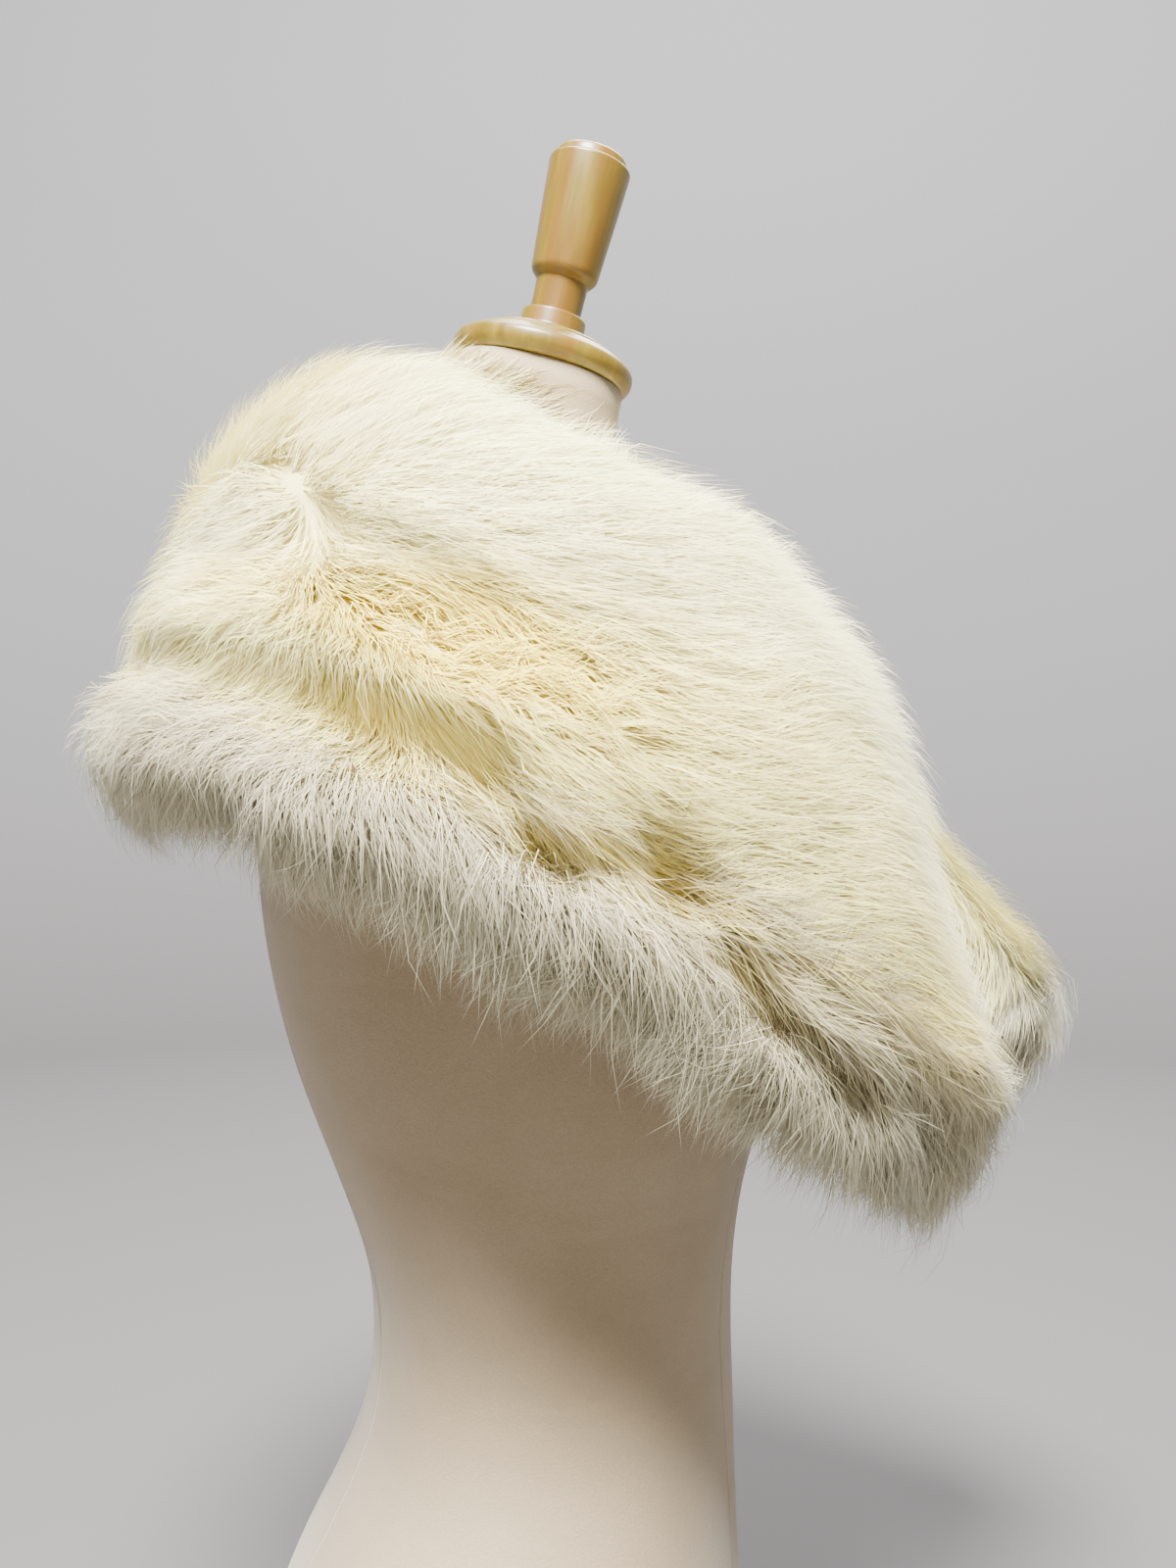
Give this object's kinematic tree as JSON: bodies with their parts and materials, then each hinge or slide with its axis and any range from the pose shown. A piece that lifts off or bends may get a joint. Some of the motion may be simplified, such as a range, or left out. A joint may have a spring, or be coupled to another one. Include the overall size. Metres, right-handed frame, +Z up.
{
  "type": "fur collar wrap on a limbless dress form",
  "caption": "Thick white fox fur collar wrap draped round the shoulders of a limbless dress form with a turned wooden neck cap and knob.",
  "frame": {"origin": "on the flat underside of the dress form, below the middle of its waist", "axes": "+X to the front of the form, +Y to the wearer's left, +Z up along the form"},
  "size_m": [0.5022, 0.4788, 0.8592],
  "materials": {
    "collar_fur": "white fox fur, long soft guard hair combed flat and forwards",
    "shoulder_fur": "cream fox fur with a yellowed woolly patch along its upper seam",
    "hem_fur": "coarser white fox fur, long guard hair hanging off a rolled edge",
    "form_jersey": "matt beige stretch jersey drawn smooth over the form",
    "turned_wood": "pale turned hardwood, satin lacquer"
  },
  "bodies": {
    "root": {"collar_band_right": "collar_fur", "collar_band_left": "collar_fur", "shoulder_band_right": "shoulder_fur", "shoulder_band_left": "shoulder_fur", "hem_band_right": "hem_fur", "hem_band_left": "hem_fur", "form_torso": "form_jersey", "neck_cap": "turned_wood", "cap_knob": "turned_wood"}
  },
  "joints": []
}
